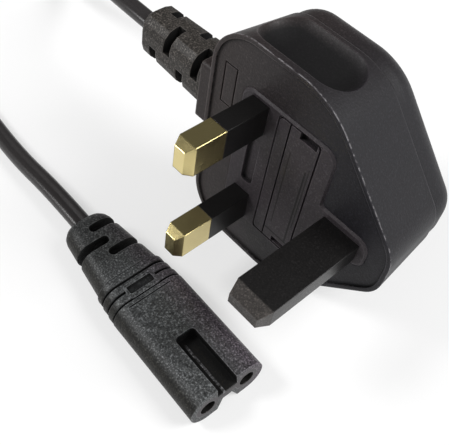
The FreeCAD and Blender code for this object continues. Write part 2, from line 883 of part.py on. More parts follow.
def cord_tie():
    outer = Part.Face(coil_section(coil_mean_diameter / 2, tie_clearance + tie_thickness))
    inner = Part.Face(coil_section(coil_mean_diameter / 2, tie_clearance))
    band = outer.cut(inner)
    sweep = math.degrees(tie_width / (coil_mean_diameter / 2))
    tie = band.revolve(Vector(0, 0, 0), Vector(0, 0, 1), sweep)
    tie.rotate(Vector(0, 0, 0), Vector(0, 0, 1), tie_angle)
    tie.translate(coil_centre)
    return tie


def connector_route():
    end, _, way = coil_joints()[0]
    floor = cord_diameter / 2 + 0.05
    return [
        Vector(tail_x, 0, axis_z),
        Vector(tail_x - 12.0, 0, axis_z),
        Vector(tail_x - 27.0, -0.8, floor + 0.7),
        Vector(tail_x - 47.0, 0.2, floor),
        Vector(tail_x - 66.5, 1.0, floor),
        Vector(tail_x - 79.5, -1.6, floor + 0.6),
        end + way * coil_lead_run,
        end,
    ]


def plug_route(place):
    end, _, way = coil_joints()[1]
    start = place.multVec(Vector(relief_tail, 0, -cord_exit_depth))
    back = place.Rotation.multVec(Vector(-1, 0, 0))
    return [
        start,
        start + back * 12.0,
        start + Vector(-25.5, 2.0, -2.6),
        start + Vector(-38.5, 4.8, -12.0),
        start + Vector(-50.5, 7.6, -20.0),
        start + Vector(-63.0, 9.6, -22.6),
        end + way * coil_lead_run,
        end,
    ]


def main():
    os.makedirs("parts", exist_ok=True)
    nodes = {}

    cores = [connector_core(side) for side in (-1, 1)]
    contacts = [socket_contact(side) for side in (-1, 1)]
    block = contact_block()
    nodes["contact_block"] = block
    nodes["socket_contact_right"], nodes["socket_contact_left"] = contacts
    nodes["connector_core_right"], nodes["connector_core_left"] = cores
    nodes["connector_shell"] = connector_shell([block] + cores)

    plug = {
        "live_pin": blade(1),
        "neutral_pin": neutral_blade(),
        "live_pin_sleeve": blade_sleeve(1),
        "neutral_pin_sleeve": blade_sleeve(-1),
        "earth_pin": earth_pin(),
        "plug_bridge": plug_bridge(),
        "fuse_carrier": fuse_carrier(),
        "fuse_barrel": fuse_barrel(),
        "fuse_cap_live": fuse_cap(1),
        "fuse_cap_load": fuse_cap(-1),
        "fuse_clip_live": live_clip(),
        "fuse_clip_load": load_clip(),
        "plug_core_live": core_run(plug_core_points("live"), core_diameter),
        "plug_core_neutral": core_run(plug_core_points("neutral"), core_diameter),
    }
    moving = ("fuse_carrier", "fuse_barrel", "fuse_cap_live", "fuse_cap_load")
    shell = plug_shell([shape for name, shape in plug.items() if name not in moving])
    plug["plug_shell"] = shell
    place = plug_placement(shell)
    print("plug lies at", place)
    for name, shape in plug.items():
        shape.Placement = place
        nodes[name] = shape

    nodes["cord_coil"] = cord_coil()
    nodes["cord_tie"] = cord_tie()
    nodes["cord_near_connector"] = tube(connector_route(), cord_diameter, "cord_near_connector")
    nodes["cord_near_plug"] = tube(plug_route(place), cord_diameter, "cord_near_plug")

    for name, shape in nodes.items():
        print(name, "valid", shape.isValid(), "solids", len(shape.Solids),
              "volume", round(shape.Volume, 2))
        shape.exportStep(os.path.join("parts", name + ".step"))


main()
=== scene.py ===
"""Looks for the figure eight power lead: a two-pole connector, its flat cord wound
into a coil, and the three-pin fused plug at its far end.

The cord, its tie, the finishes and the stage are operators, listed in one panel.
"""

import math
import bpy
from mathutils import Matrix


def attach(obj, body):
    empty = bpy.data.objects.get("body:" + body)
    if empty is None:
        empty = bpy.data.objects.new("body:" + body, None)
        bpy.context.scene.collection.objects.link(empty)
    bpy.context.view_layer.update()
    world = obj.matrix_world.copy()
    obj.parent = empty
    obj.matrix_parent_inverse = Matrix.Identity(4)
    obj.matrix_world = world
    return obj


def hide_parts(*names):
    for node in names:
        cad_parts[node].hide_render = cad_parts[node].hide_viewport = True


bl_info = {
    "name": "Figure Eight Power Lead",
    "version": (1, 0, 0),
    "blender": (4, 5, 0),
    "location": "3D View > Sidebar > Power Lead",
    "description": "Dresses a figure eight power lead: cord, tie, moulded finishes and a studio stage",
    "category": "Object",
}

import bpy
from bpy.props import FloatProperty, FloatVectorProperty, IntProperty, PointerProperty
from mathutils import Euler, Matrix, Vector

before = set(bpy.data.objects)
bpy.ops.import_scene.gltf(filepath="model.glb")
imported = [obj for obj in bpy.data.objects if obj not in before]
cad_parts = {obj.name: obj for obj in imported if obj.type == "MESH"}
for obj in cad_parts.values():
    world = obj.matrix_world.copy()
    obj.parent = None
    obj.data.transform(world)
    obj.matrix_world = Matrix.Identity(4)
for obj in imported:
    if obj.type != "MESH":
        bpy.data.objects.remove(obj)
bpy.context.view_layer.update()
MM = 0.001

# The lead's line in the row frame, in millimetres, as the source of the part has it.
FROM_CONNECTOR = [
    (-23.2, 0.0, 3.65), (-35.5, 0.0, 3.65), (-50.5, -0.8, 2.4), (-70.5, 0.2, 1.4),
    (-90.0, 1.0, 1.4), (-103.0, -1.6, 1.9), (-117.781, -3.233, 3.15),
]
TO_PLUG = [
    (-115.776, 42.681, 7.55), (-104.747, 43.065, 3.899), (-92.247, 41.065, 6.499),
    (-80.247, 38.265, 14.499), (-67.247, 35.465, 23.899), (-53.684, 32.714, 27.462),
    (-41.449, 33.484, 26.475),
]
COIL_CENTRE = Vector((-146.0, 21.0, 0.95))
COIL_FROM, COIL_TO = -85.0, 80.0       # degrees round the coil where the two leads join
PLUG_TURN = Euler((math.radians(84.5226), math.radians(4.6), math.radians(3.6)))
PLUG_PLACE = Vector((-1.9, 25.3, 24.3655))

# How the turns of the coil lie, in millimetres or as shares.
FLOOR_GAP = 0.05           # under the lowest turn
ROW_GAP = 0.1              # between a row and the one on it
CLIMB_POINTS = 3           # points that a climb to the next row takes
WAY_DOWN = 0.3             # share of a turn in which the cord comes down the outside
WAY_OUT = 2.5              # how much faster it gets outside than down
OUTSIDE = 1.05             # turn gaps from the outermost turn to the cord on its way down

# Outline of the flat cord: points on each round, and how far round they go from its outer side.
ROUND_POINTS = 11
ROUND_REACH = 128.0        # degrees each way

# The tie, as shares of its ribbon's thickness, and the lean of its tail in degrees.
STRAND_RADIUS = 0.62
TAIL_OFFSET = 2.1
TAIL_LEAN = -12.0, 4.0, 0.0
TIE_SINK = 0.2             # millimetres from the coil's underside down to the inside of the tie

# Marks of a moulded surface: where each begins and where it is full.
PAINTED_GLINTS = 0.54, 0.70        # fine noise, painted glints on the raised grains
PAINTED_PIT_SHADE = 0.47, 0.34          # fine noise, painted shade in the pits
EDGES = 0.995, 0.86        # cosine between the true normal and the softened one
HOLLOWS = 0.92, 0.55       # open share round a point, where painted shade in a hollow begins and where it is full
PIT_SPREAD, PIT_SHARE = 0.8, 0.6       # how dense and how deep the pits are beside the fine noise
FLOW_PER_M = 90.0          # broad flow marks of the melt
# Colour gains of the painted glints and of the painted shade in the pits.
PAINTED_GLINT_GAIN, PIT_SHADE_GAIN = (4.0, 4.0, 4.0), (0.25, 0.25, 0.25)
EDGE_HIGHLIGHT_SHARE = 0.65          # share of the lighter tone painted on an edge, a painted highlight
# Colour of the painted shade in the hollows.
HOLLOW_SHADE = (0.001, 0.001, 0.001)
# What each adds to the roughness.
FLOW_ROUGHNESS, GLINT_ROUGHNESS, EDGE_ROUGHNESS, HOLLOW_ROUGHNESS = 0.18, -0.16, -0.10, 0.35

# Drawn metal: marks per millimetre across and along the pin, its dull spots and their tone.
DRAW_MARKS = 5.2, 5.2, 0.26
DULL_SPOTS, SPOTS_PER_MM = (0.40, 0.75), 0.42
DULL_GAIN = (0.62, 0.52, 0.40)
MARK_ROUGHNESS, DULL_ROUGHNESS = 0.12, 0.3

# Where the connector's tones, its painted shade and painted light change, in millimetres in the row frame:
# begins, full.
LEFT_SHADE_TURN = -0.35, -0.75           # sideways part of the normal, from the top to the left side's painted shade
RIGHT_LIGHT = 1.0, 6.0              # along Y, to the right side's painted light
# Darker towards the boot's tail, mixed with the left side's painted shade colour.
BOOT_TONE, BOOT_SHARE = (-6.0, -12.0), 0.4
# The key groove's floor gets painted shade, near black.
GROOVE_END, GROOVE_SIDES = (10.7, 11.1), (-2.12, 2.12)
GROOVE_TOP, GROOVE_FLOOR = (7.1, 6.5), (4.3, 4.4)
GROOVE_SHADE = (0.002, 0.002, 0.002)
# A painted highlight of lighter dots along the groove's floor.
GROOVE_HIGHLIGHT_SIDES, GROOVE_HIGHLIGHT_END = (-0.85, -0.5), (12.0, 12.6)
GROOVE_HIGHLIGHT_DOTS, GROOVE_HIGHLIGHT_PER_MM = (0.34, 0.60), 1.6
GROOVE_HIGHLIGHT_GREY = (0.125, 0.125, 0.13)
# Painted shade in the panel's recessed window.
WINDOW = (-3.2, -1.5), (-2.65, 2.65), (6.8, 7.1)      # along X, Y and Z
WINDOW_SHADE = (0.010, 0.0105, 0.011)
BLOCK_FACE = 0.6, 0.9              # forward part of the normal, from a bore's wall to the face
# Painted shade, near black, on the walls of the bores.
BORE_SHADE = (0.006, 0.0055, 0.005)
BROWN_CORE, BLUE_CORE = (0.16, 0.06, 0.025), (0.02, 0.10, 0.42)

# Where the plug's tones, its painted shade and painted highlight change, in millimetres in its own frame:
# begins, full.
# Painted shade that grows towards the earth end.
EARTH_END_SHADE = -10.0, 16.0
RELIEF_TONE = -19.0, -20.0
FLANK_HALF_WIDTH = 24.0            # at the face
FLANK_LEAN = 1.4 / 14.6            # narrower towards the back
FLANK_BENDS = (1.0, 6.2, 31.0), (-1.0, 3.3, 15.0)     # way along, start, and length of the bend
SCOOP_DEPTH = 0.25, 1.6            # inside the flank
SCOOP_ALONG, SCOOP_OUT, SCOOP_SIDE = (-9.5, 14.0), (-15.2, -0.9), (19.0, 19.5)
# Painted shade in the scoops.
SCOOP_SHADE = (0.004, 0.0036, 0.0040)
# A painted highlight of light dots along the border of the face.
BORDER_EDGE, BORDER_DOTS, BORDER_PER_MM, BORDER_HIGHLIGHT_SHARE = (-0.30, -0.06), (0.44, 0.58), 1.1, 0.8
BORDER_HIGHLIGHT = (0.12, 0.115, 0.12)
# Strength of the painted glints and pit shade, on the overmould and on the relief.
MOULDING_SPECKLE, RELIEF_SPECKLE = 0.3, 1.0
MOULDING_ROUGHNESS, SCOOP_ROUGHNESS = 0.48, 0.73
MOULDING_HOLLOW, RELIEF_HOLLOW = 2.0 * MM, 4.0 * MM
TIP_START, TIP_PER_MM, TIP_WEAR = (20.05, 20.3), 0.9, 0.25
TIP_GREY = (0.045, 0.040, 0.037)

# Fine lines that frame the middle of the fuse carrier: along, aside, and how dark.
CARRIER_LINES = (
    ((6.8, 13.5), (-12.1, -11.75), 1.0),
    ((8.15, 8.4), (-9.5, 9.0), 0.8),
    ((12.05, 12.35), (-12.0, 7.5), 0.95),
    ((12.7, 12.9), (-7.0, 8.5), 0.75),
)
LINE_SOFT = 0.04
LINE_BLACK = (0.003, 0.003, 0.003)

# Lamps: name, place and aim in metres, width in metres, power in watts.
LAMPS = (
    ("Key", (0.36, 0.34, 0.46), (0.0, 0.02, 0.0), 0.35, 3.5),
    ("Ridge", (-0.29, -0.30, 0.45), (0.0, 0.01, 0.0), 0.20, 2.0),
)
SKY_OPEN, SKY_FLAG = 0.68, 0.12    # strength of the sky away from the flag and in it
FLAG_SPREAD = 0.92                 # cosine from its middle at which the flag is full
FLOOR_HALF = 3.0                   # metres
FLOOR_GLOW = 0.55                  # share of plain white that the camera sees in the floor


def size(name, about, value, **more):
    """A length that a user may change, in metres, given here in millimetres."""
    return FloatProperty(name=name, description=about, default=value * MM, min=0.0,
                         precision=5, subtype="DISTANCE", unit="LENGTH", **more)


def colour(name, about, value):
    return FloatVectorProperty(name=name, description=about, default=value, size=3,
                               min=0.0, max=1.0, subtype="COLOR")


def bearing(name, about, degrees):
    return FloatProperty(name=name, description=about, default=math.radians(degrees),
                         subtype="ANGLE", unit="ROTATION")


class LeadSizes(bpy.types.PropertyGroup):
    width: size("Width", "Flat cord across its two rounds", 4.3)
    thickness: size("Thickness", "Flat cord through one round", 2.5)
    real_length: size("Length", "Connector to plug along the cord", 1800.0)
    coil_diameter: size("Coil diameter", "Middle of the turns", 47.4)
    turn_gap: size("Turn gap", "From one turn to the next beside it", 2.5)
    rows: IntProperty(name="Rows", description="Rows of turns, one on another", default=4, min=2, max=6)
    whole_turns: IntProperty(name="Whole turns", default=10, min=2, max=20,
                             description="Whole turns in the coil, beside the half turn between the leads")
    turn_points: IntProperty(name="Points per turn", description="Control points in each turn",
                             default=16, min=12, max=32)


class TieSizes(bpy.types.PropertyGroup):
    angle: bearing("Place", "Where on the coil the tie sits", 205.0)
    bundle_width: size("Bundle width", "Turns inside the tie, across", 9.9)
    bundle_height: size("Bundle height", "Turns inside the tie, upright", 18.3)
    ribbon_width: size("Ribbon width", "Flat ribbon of the tie", 4.0)
    ribbon_thickness: size("Ribbon thickness", "Flat ribbon of the tie", 0.7)
    corner: size("Corner", "Bend of the ribbon round the bundle", 2.4)
    tail: size("Tail", "Twisted end that stands off the bundle", 15.0)
    twists: FloatProperty(name="Twists", description="Turns of the twisted end", default=3.5, min=0.5)


class FinishLooks(bpy.types.PropertyGroup):
    connector: colour("Connector", "Charcoal of the moulded connector", (0.044, 0.046, 0.047))
    # Painted shade of the connector's left side.
    connector_left_shade: colour("Connector, left", "Warmer charcoal of its left side", (0.0095, 0.0090, 0.0075))
    # Painted light of the connector's right side.
    connector_right_light: colour("Connector, right", "Charcoal of its right side", (0.050, 0.043, 0.050))
    plug: colour("Plug", "Black of the moulded plug by the lead", (0.0250, 0.0195, 0.0190))
    # Painted shade towards the plug's earth end.
    plug_earth_end_shade: colour("Plug end", "Cooler black of its earth end", (0.0115, 0.0108, 0.0132))
    relief: colour("Relief", "Browner black of the strain relief", (0.032, 0.0285, 0.0255))
    insert: colour("Insert", "Black of the hard face plate", (0.028, 0.0235, 0.0265))
    sleeve: colour("Sleeve", "Black of the blades' sleeves and the earth pin", (0.0065, 0.006, 0.006))
    cord: colour("Cord", "Black of the flat cord", (0.026, 0.0235, 0.0235))
    brass: colour("Brass", "Bare part of the blades", (0.70, 0.59, 0.28))
    nickel: colour("Nickel", "Plated caps of the fuse", (0.72, 0.71, 0.68))
    ceramic: colour("Ceramic", "Glazed barrel of the fuse", (0.86, 0.84, 0.78))
    grain: size("Grain", "Size of one pit of the eroded mould texture", 0.34)
    grain_depth: size("Grain depth", "Depth of the eroded mould texture", 0.05)
    edge: size("Edge radius", "Soft edge that moulding leaves", 0.25)


class StageLooks(bpy.types.PropertyGroup):
    floor: colour("Floor", "Pale floor under the lead", (0.90, 0.90, 0.90))
    azimuth: bearing("Azimuth", "Camera round the object", 51.2)
    elevation: bearing("Elevation", "Camera above the horizon", 52.1)
    place: FloatVectorProperty(name="Camera place", description="Where the camera stands",
                               default=(0.0631, -0.0325, 0.1175), size=3,
                               subtype="TRANSLATION", unit="LENGTH")
    flag: FloatVectorProperty(name="Flag", description="Way to the dark flag behind the object",
                              default=(-0.48, 0.38, 0.79), size=3, subtype="DIRECTION")
    lens: FloatProperty(name="Lens", description="Focal length on a 36 mm sensor",
                        default=56.1, min=10.0, max=300.0, unit="CAMERA")


# Building node trees

# The Mix node's colour sockets, by number, because its other sockets have the same names.
MIX_FIRST, MIX_SECOND, MIX_RESULT = 6, 7, 2


def group(name, inputs, outputs):
    """A shader node group with its sockets, given as (name, kind, default)."""
    tree = bpy.data.node_groups.new(name, "ShaderNodeTree")
    for way, sockets in (("INPUT", inputs), ("OUTPUT", outputs)):
        for label, kind, value in sockets:
            socket = tree.interface.new_socket(label, in_out=way, socket_type=kind)
            if value is not None:
                socket.default_value = value
    return tree, tree.nodes.new("NodeGroupInput"), tree.nodes.new("NodeGroupOutput")


def node(tree, kind, values=(), **settings):
    """A node with its settings and its input values, or links, by socket name or number."""
    made = tree.nodes.new(kind)
    for key, value in settings.items():
        setattr(made, key, value)
    for key, value in dict(values).items():
        if isinstance(value, bpy.types.NodeSocket):
            tree.links.new(value, made.inputs[key])
        else:
            made.inputs[key].default_value = value
    return made


def maths(tree, operation, first, second=0.0, third=0.0, clamp=False):
    return node(tree, "ShaderNodeMath", {0: first, 1: second, 2: third}, operation=operation,
                use_clamp=clamp).outputs[0]


def product(tree, first, *others):
    """Several values or masks multiplied together."""
    for other in others:
        first = maths(tree, "MULTIPLY", first, other)
    return first


def opaque(value):
    return (*value, 1.0)


def blend_colours(tree, share, first, second, way="MIX"):
    """Two colours mixed; each is a link or three numbers."""
    values = {0: share}
    for number, value in ((MIX_FIRST, first), (MIX_SECOND, second)):
        values[number] = value if isinstance(value, bpy.types.NodeSocket) else opaque(value)
    return node(tree, "ShaderNodeMix", values, data_type="RGBA", blend_type=way,
                clamp_factor=True).outputs[MIX_RESULT]


def ramp(tree, value, low, high, first=0.0, last=1.0, **settings):
    """From first at low to last at high, and level beyond them."""
    return node(tree, "ShaderNodeMapRange", {"Value": value, "From Min": low, "From Max": high,
                                             "To Min": first, "To Max": last}, **settings).outputs[0]


def inside(tree, value, low, high, soft):
    """1 between low and high, 0 outside, over a soft step."""
    return product(tree, ramp(tree, value, low - soft, low), ramp(tree, value, high + soft, high))


def noise(tree, place, scale, detail=2.0, roughness=0.5):
    return node(tree, "ShaderNodeTexNoise", {"Vector": place, "Scale": scale, "Detail": detail,
                                             "Roughness": roughness}).outputs["Fac"]


def object_place(tree):
    return node(tree, "ShaderNodeTexCoord").outputs["Object"]


def surface_normal(tree):
    return node(tree, "ShaderNodeNewGeometry").outputs["Normal"]


def row_frame(tree):
    """Coordinates in the row frame, in millimetres."""
    return node(tree, "ShaderNodeMapping", {"Vector": object_place(tree),
                                            "Scale": (1 / MM,) * 3}).outputs[0]


def plug_frame(tree):
    """Coordinates in the plug's own frame, in millimetres: along to the earth end, aside to
    the live side and out of the face."""
    back = PLUG_TURN.to_matrix().inverted()
    return node(tree, "ShaderNodeMapping", {"Vector": row_frame(tree), "Rotation": tuple(back.to_euler()),
                                            "Location": tuple(back @ -PLUG_PLACE)}).outputs[0]


def cosine(tree, first, second):
    """Dot product of two directions."""
    return node(tree, "ShaderNodeVectorMath", {0: first, 1: second},
                operation="DOT_PRODUCT").outputs["Value"]


def parts_of(tree, vector):
    return node(tree, "ShaderNodeSeparateXYZ", {0: vector}).outputs


# Shared surfaces

def moulded_surface():
    """Eroded mould texture with painted glints and painted pit shade, a painted highlight on the soft
    edges and painted shade in the hollows: colour, roughness and normal.
    """
    tree, given, out = group("Moulded surface", [
        ("Colour", "NodeSocketColor", (0.04, 0.04, 0.04, 1)),
        ("Grain", "NodeSocketFloat", 0.3 * MM),
        ("Depth", "NodeSocketFloat", 0.03 * MM),
        ("Roughness", "NodeSocketFloat", 0.5),
        ("Speckle", "NodeSocketFloat", 0.5),
        ("Edge", "NodeSocketFloat", 0.25 * MM),
        ("Hollow", "NodeSocketFloat", 1.6 * MM),
        ("Shade", "NodeSocketFloat", 0.8),
    ], [
        ("Colour", "NodeSocketColor", None),
        ("Roughness", "NodeSocketFloat", None),
        ("Normal", "NodeSocketVector", None),
    ])
    given = given.outputs
    place = object_place(tree)
    frequency = maths(tree, "DIVIDE", 1.0, given["Grain"])
    fine = noise(tree, place, frequency, roughness=0.65)
    pits = node(tree, "ShaderNodeTexVoronoi", {"Vector": place,
                "Scale": product(tree, frequency, PIT_SPREAD)}).outputs["Distance"]
    flow = noise(tree, place, FLOW_PER_M, detail=3.0)
    height = maths(tree, "MULTIPLY_ADD", pits, PIT_SHARE, fine)
    soft = node(tree, "ShaderNodeBevel", {"Radius": given["Edge"]}, samples=6).outputs[0]
    bump = node(tree, "ShaderNodeBump", {"Height": height, "Distance": given["Depth"],
                                         "Strength": 1.0, "Normal": soft}).outputs[0]
    # The soft edges are painted lighter, a painted highlight.
    edge = ramp(tree, cosine(tree, soft, surface_normal(tree)), *EDGES)
    # Hollows that see little round them get painted shade, near black.
    exposed = node(tree, "ShaderNodeAmbientOcclusion", {"Distance": given["Hollow"]},
                   only_local=True, samples=6).outputs["AO"]
    hollow = ramp(tree, exposed, *HOLLOWS)
    bare = maths(tree, "SUBTRACT", 1.0, hollow)
    # Raised grains are painted lighter as painted glints, and pits darker as painted shade.
    light = product(tree, ramp(tree, fine, *PAINTED_GLINTS), bare, given["Speckle"])
    dark = product(tree, ramp(tree, fine, *PAINTED_PIT_SHADE), given["Speckle"])

    lighter = blend_colours(tree, 1.0, given["Colour"], PAINTED_GLINT_GAIN, "MULTIPLY")
    darker = blend_colours(tree, 1.0, given["Colour"], PIT_SHADE_GAIN, "MULTIPLY")
    toned = blend_colours(tree, light, given["Colour"], lighter)
    toned = blend_colours(tree, dark, toned, darker)
    toned = blend_colours(tree, product(tree, edge, EDGE_HIGHLIGHT_SHARE), toned, lighter)
    toned = blend_colours(tree, product(tree, hollow, given["Shade"]), toned, HOLLOW_SHADE)
    tree.links.new(toned, out.inputs["Colour"])

    rough = maths(tree, "MULTIPLY_ADD", maths(tree, "SUBTRACT", flow, 0.5), FLOW_ROUGHNESS,
                  given["Roughness"])
    rough = maths(tree, "MULTIPLY_ADD", light, GLINT_ROUGHNESS, rough)
    rough = maths(tree, "MULTIPLY_ADD", edge, EDGE_ROUGHNESS, rough)
    rough = maths(tree, "MULTIPLY_ADD", hollow, HOLLOW_ROUGHNESS, rough, clamp=True)
    tree.links.new(rough, out.inputs["Roughness"])
    tree.links.new(bump, out.inputs["Normal"])
    return tree


def drawn_metal():
    """Fine draw marks along one direction, with soft edges: colour, roughness and normal."""
    tree, given, out = group("Drawn metal", [
        ("Vector", "NodeSocketVector", None),
        ("Colour", "NodeSocketColor", (0.8, 0.64, 0.34, 1)),
        ("Roughness", "NodeSocketFloat", 0.25),
        ("Tarnish", "NodeSocketFloat", 0.3),
        ("Edge", "NodeSocketFloat", 0.2 * MM),
    ], [
        ("Colour", "NodeSocketColor", None),
        ("Roughness", "NodeSocketFloat", None),
        ("Normal", "NodeSocketVector", None),
    ])
    given = given.outputs
    stretched = node(tree, "ShaderNodeMapping", {"Vector": given["Vector"],
                                                 "Scale": DRAW_MARKS}).outputs[0]
    marks = noise(tree, stretched, 1.0)
    spots = noise(tree, given["Vector"], SPOTS_PER_MM, detail=4.0, roughness=0.6)
    soft = node(tree, "ShaderNodeBevel", {"Radius": given["Edge"]}, samples=12).outputs[0]
    bump = node(tree, "ShaderNodeBump", {"Height": marks, "Distance": 0.003 * MM, "Strength": 1.0,
                                         "Normal": soft}).outputs[0]
    dull = product(tree, ramp(tree, spots, *DULL_SPOTS), given["Tarnish"])
    darker = blend_colours(tree, 1.0, given["Colour"], DULL_GAIN, "MULTIPLY")
    tree.links.new(blend_colours(tree, dull, given["Colour"], darker), out.inputs["Colour"])
    rough = maths(tree, "MULTIPLY_ADD", marks, MARK_ROUGHNESS, given["Roughness"])
    rough = maths(tree, "MULTIPLY_ADD", dull, DULL_ROUGHNESS, rough, clamp=True)
    tree.links.new(rough, out.inputs["Roughness"])
    tree.links.new(bump, out.inputs["Normal"])
    return tree


# Materials

def surface(name, shared, values, **plain):
    """A material whose colour, roughness and normal come from a shared group."""
    made = bpy.data.materials.new(name)
    made.use_nodes = True
    tree = made.node_tree
    shader = tree.nodes["Principled BSDF"]
    for socket, value in plain.items():
        shader.inputs[socket.replace("_", " ")].default_value = value
    look = tree.nodes.new("ShaderNodeGroup")
    look.node_tree = shared
    for socket, value in values.items():
        look.inputs[socket].default_value = value
    for output, socket in (("Colour", "Base Color"), ("Roughness", "Roughness"), ("Normal", "Normal")):
        tree.links.new(look.outputs[output], shader.inputs[socket])
    return made, tree, look.inputs


def moulding(name, tint, grain=0.4 * MM, depth=0.01 * MM, roughness=0.4, speckle=0.1, edge=0.2 * MM,
             hollow=1.6 * MM, shade=0.8, shine=0.35):
    """Moulded plastic, with its tree and its inputs; shine is the strength of its mirror part."""
    shared = bpy.data.node_groups.get("Moulded surface") or moulded_surface()
    values = {"Colour": opaque(tint), "Grain": grain, "Depth": depth, "Roughness": roughness,
              "Speckle": speckle, "Edge": edge, "Hollow": hollow, "Shade": shade}
    return surface(name, shared, values, Specular_IOR_Level=shine)


def hard_plastic(name, looks):
    """Moulding of the plug's face plate and of its fuse carrier."""
    return moulding(name, looks.insert, looks.grain, roughness=0.55, speckle=0.3, hollow=1.0 * MM,
                    shade=0.9, shine=0.25)


def metal(name, tint, roughness, tarnish, edge):
    """Metal with its draw marks along the pins."""
    shared = bpy.data.node_groups.get("Drawn metal") or drawn_metal()
    made, tree, inputs = surface(name, shared, {"Colour": opaque(tint), "Roughness": roughness,
                                                "Tarnish": tarnish, "Edge": edge}, Metallic=1.0)
    tree.links.new(plug_frame(tree), inputs["Vector"])
    return made


def dress(material, *nodes):
    """Puts a material on CAD nodes, whose shape stays as it is."""
    for name in nodes:
        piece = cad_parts[name]
        piece.data.materials.clear()
        piece.data.materials.append(material)


# The flat cord

def coil_points(sizes):
    """Control points of the turns: rows that go inwards and outwards by turns, one on
    another, and at the end a way down the outside to the height of the plug's lead."""
    turns = sizes.whole_turns + ((COIL_FROM - COIL_TO) % 360) / 360
    count = round(turns * sizes.turn_points)
    rows, gap, middle = sizes.rows, sizes.turn_gap, sizes.coil_diameter / 2
    low, step = sizes.width / 2 + FLOOR_GAP * MM, sizes.width + ROW_GAP * MM
    reach = gap * turns / rows                      # from the innermost turn to the outermost
    cut = math.cos(math.pi / sizes.turn_points)     # the spline lies inside its points
    down = sizes.turn_points * WAY_DOWN
    points = []
    for i in range(count + 1):
        angle = math.radians(COIL_FROM) - 2 * math.pi * turns * i / count
        row = min(rows - 1, int(i / count * rows))
        share = i / count * rows - row
        inward = share if row % 2 == 0 else 1 - share
        radius = middle + reach * (0.5 - inward)
        height = low
        for k in range(1, rows):
            height += step * min(1.0, max(0.0, (i - count * k / rows) / CLIMB_POINTS + 0.5))
        last = min(1.0, max(0.0, (i - count + down) / down))
        height += (low + step - height) * last
        radius += gap * min(1.0, WAY_OUT * last) * OUTSIDE
        radius /= cut
        points.append(COIL_CENTRE * MM + Vector((radius * math.cos(angle), radius * math.sin(angle),
                                                 height)))
    return points


def flat_profile(sizes):
    """Outline of the flat cord: two rounds side by side with a valley between them."""
    data = bpy.data.curves.new("cord_outline", "CURVE")
    data.dimensions = "2D"
    spline = data.splines.new("POLY")
    radius, off = sizes.thickness / 2, (sizes.width - sizes.thickness) / 2
    corners = []
    for side in (1, -1):
        for k in range(ROUND_POINTS):
            turn = math.radians(ROUND_REACH * (2 * k / (ROUND_POINTS - 1) - 1))
            x, y = off + radius * math.cos(turn), radius * math.sin(turn)
            corners.append((side * x, side * y))
    spline.points.add(len(corners) - 1)
    for point, (x, y) in zip(spline.points, corners):
        point.co = (x, y, 0, 1)
    spline.use_cyclic_u = True
    outline = bpy.data.objects.new("cord_outline", data)
    bpy.context.scene.collection.objects.link(outline)
    outline.hide_render = True
    return outline


class LEAD_OT_cord(bpy.types.Operator):
    """Lays the flat cord from the connector, round the coil and up to the plug"""
    bl_idname = "power_lead.cord"
    bl_label = "Cord"

    def execute(self, context):
        sizes, looks = context.scene.lead_sizes, context.scene.lead_finish
        turns = coil_points(sizes)
        lead_in = [Vector(p) * MM for p in FROM_CONNECTOR]
        lead_out = [Vector(p) * MM for p in TO_PLUG]
        route = lead_in + turns + lead_out
        # The wide side lies flat outside the coil and stands upright in it.
        stand = [0.0] * len(lead_in) + [math.pi / 2] * len(turns) + [0.0] * len(lead_out)
        data = bpy.data.curves.new("flat_cord", "CURVE")
        data.dimensions, data.twist_mode, data.resolution_u = "3D", "Z_UP", 6
        spline = data.splines.new("NURBS")
        spline.points.add(len(route) - 1)
        for point, place, tilt in zip(spline.points, route, stand):
            point.co, point.tilt = (*place, 1), tilt
        spline.order_u, spline.use_endpoint_u, spline.use_smooth = 3, True, True
        data.bevel_mode, data.bevel_object, data.use_fill_caps = "OBJECT", flat_profile(sizes), True
        cord = bpy.data.objects.new("flat_cord", data)
        context.scene.collection.objects.link(cord)
        data.materials.append(moulding("Cord jacket", looks.cord, grain=0.5 * MM, depth=0.006 * MM,
                                       roughness=0.30, shine=0.5)[0])
        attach(cord, "lead")
        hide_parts("cord_near_connector", "cord_coil", "cord_near_plug")
        return {"FINISHED"}


# The tie

